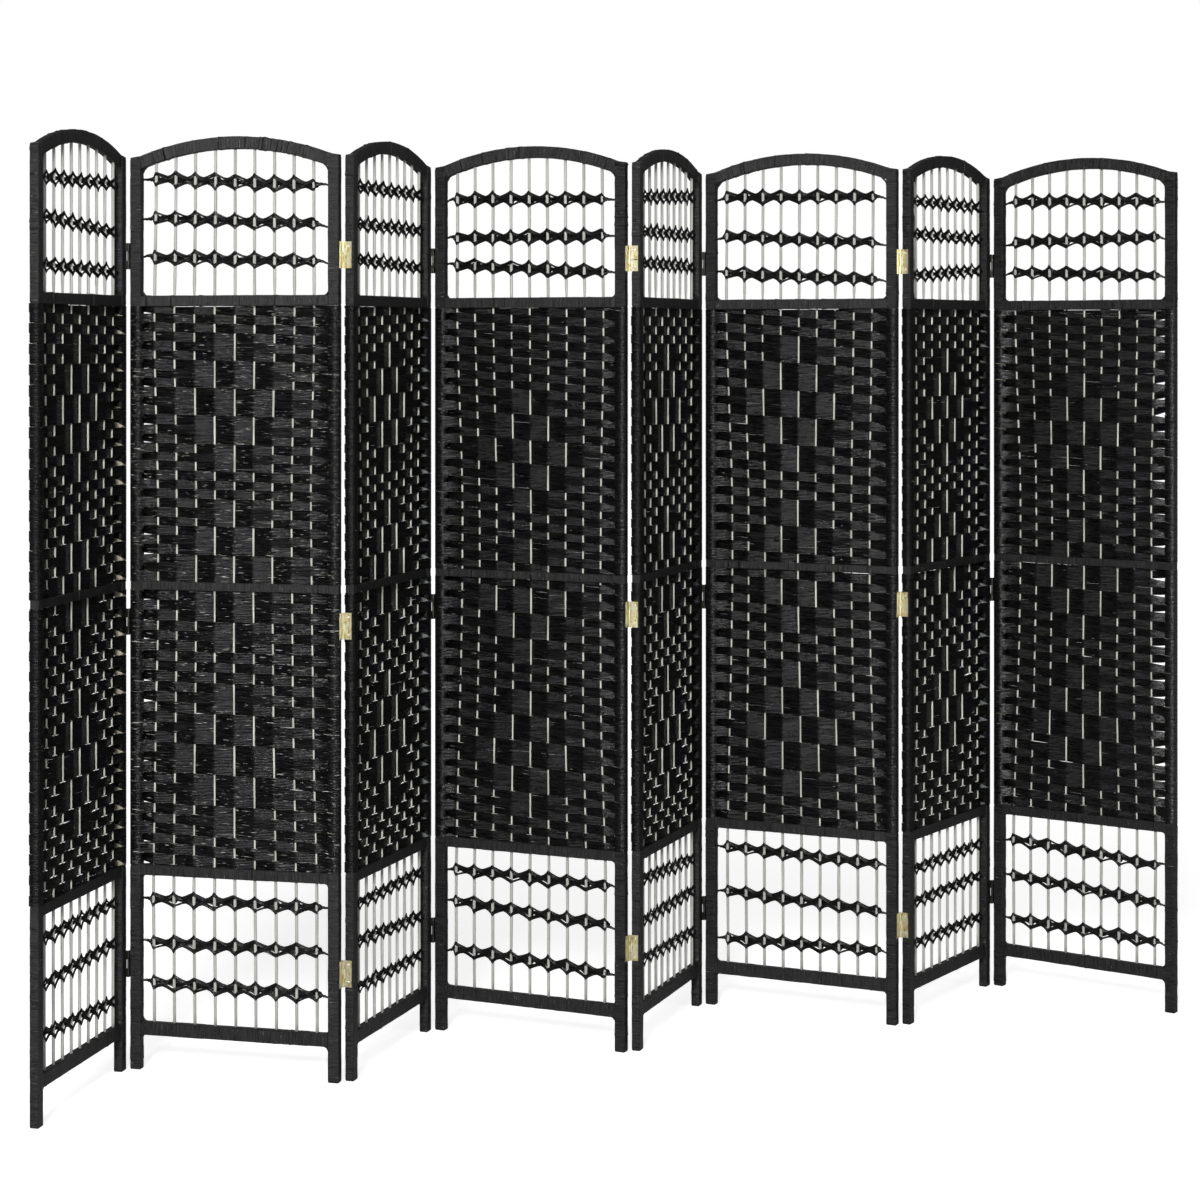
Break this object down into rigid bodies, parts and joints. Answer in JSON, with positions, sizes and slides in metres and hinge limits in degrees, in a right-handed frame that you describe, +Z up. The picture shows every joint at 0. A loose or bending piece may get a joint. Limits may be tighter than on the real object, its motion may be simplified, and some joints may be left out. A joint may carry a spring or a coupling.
{
  "type": "folding room divider",
  "caption": "Free-standing folding screen of woven cord panels with arched tops and openwork bands, hinged in a zigzag.",
  "frame": {"origin": "on the floor, under the middle of the screen's box as it stands in the picture", "axes": "+X along the zigzag from the first panel to the last, +Y towards the back, +Z up"},
  "size_m": [2.2876, 0.4174, 1.7],
  "materials": {
    "frame": "black stained wood bound with paper cord, satin",
    "rods": "pale straw rods, satin",
    "cord": "black paper cord, soft sheen",
    "hinge_brass": "brass plated steel, satin"
  },
  "bodies": {
    "panel_1": {"panel_1_left_post": "frame", "panel_1_right_post": "frame", "panel_1_rails": "frame", "panel_1_rods": "rods", "panel_1_weave": "cord", "panel_1_bands": "cord", "panel_1_hinges": "hinge_brass", "panel_1_hinge_pins": "hinge_brass"},
    "panel_2": {"panel_2_left_post": "frame", "panel_2_right_post": "frame", "panel_2_rails": "frame", "panel_2_rods": "rods", "panel_2_weave": "cord", "panel_2_bands": "cord", "panel_2_hinges": "hinge_brass"},
    "panel_3": {"panel_3_left_post": "frame", "panel_3_right_post": "frame", "panel_3_rails": "frame", "panel_3_rods": "rods", "panel_3_weave": "cord", "panel_3_bands": "cord", "panel_3_hinges": "hinge_brass", "panel_3_hinge_pins": "hinge_brass"},
    "panel_4": {"panel_4_left_post": "frame", "panel_4_right_post": "frame", "panel_4_rails": "frame", "panel_4_rods": "rods", "panel_4_weave": "cord", "panel_4_bands": "cord", "panel_4_hinges": "hinge_brass"},
    "panel_5": {"panel_5_left_post": "frame", "panel_5_right_post": "frame", "panel_5_rails": "frame", "panel_5_rods": "rods", "panel_5_weave": "cord", "panel_5_bands": "cord", "panel_5_hinges": "hinge_brass", "panel_5_hinge_pins": "hinge_brass"},
    "panel_6": {"panel_6_left_post": "frame", "panel_6_right_post": "frame", "panel_6_rails": "frame", "panel_6_rods": "rods", "panel_6_weave": "cord", "panel_6_bands": "cord", "panel_6_hinges": "hinge_brass"},
    "panel_7": {"panel_7_left_post": "frame", "panel_7_right_post": "frame", "panel_7_rails": "frame", "panel_7_rods": "rods", "panel_7_weave": "cord", "panel_7_bands": "cord", "panel_7_hinges": "hinge_brass", "panel_7_hinge_pins": "hinge_brass"},
    "panel_8": {"panel_8_left_post": "frame", "panel_8_right_post": "frame", "panel_8_rails": "frame", "panel_8_rods": "rods", "panel_8_weave": "cord", "panel_8_bands": "cord", "panel_8_hinges": "hinge_brass"}
  },
  "joints": [
    {"name": "fold_3_4", "type": "hinge", "parent": "panel_4", "child": "panel_3", "pos_m": [-0.28009, 0.19558, 0.85], "axis": [0, 0, 1], "range_deg": [-97.5, 82.5]},
    {"name": "fold_2_3", "type": "hinge", "parent": "panel_3", "child": "panel_2", "pos_m": [-0.55755, -0.09899, 0.85], "axis": [0, 0, -1], "range_deg": [-86, 94]},
    {"name": "fold_1_2", "type": "hinge", "parent": "panel_2", "child": "panel_1", "pos_m": [-0.89803, 0.11971, 0.85], "axis": [0, 0, 1], "range_deg": [-91, 89]},
    {"name": "fold_4_5", "type": "hinge", "parent": "panel_4", "child": "panel_5", "pos_m": [0.00995, -0.0866, 0.85], "axis": [0, 0, 1], "range_deg": [-95.5, 84.5]},
    {"name": "fold_5_6", "type": "hinge", "parent": "panel_5", "child": "panel_6", "pos_m": [0.29752, 0.1981, 0.85], "axis": [0, 0, -1], "range_deg": [-96, 84]},
    {"name": "fold_6_7", "type": "hinge", "parent": "panel_6", "child": "panel_7", "pos_m": [0.58509, -0.0866, 0.85], "axis": [0, 0, 1], "range_deg": [-84.5, 95.5]},
    {"name": "fold_7_8", "type": "hinge", "parent": "panel_7", "child": "panel_8", "pos_m": [0.92365, 0.13506, 0.85], "axis": [0, 0, -1], "range_deg": [-96, 84]}
  ]
}
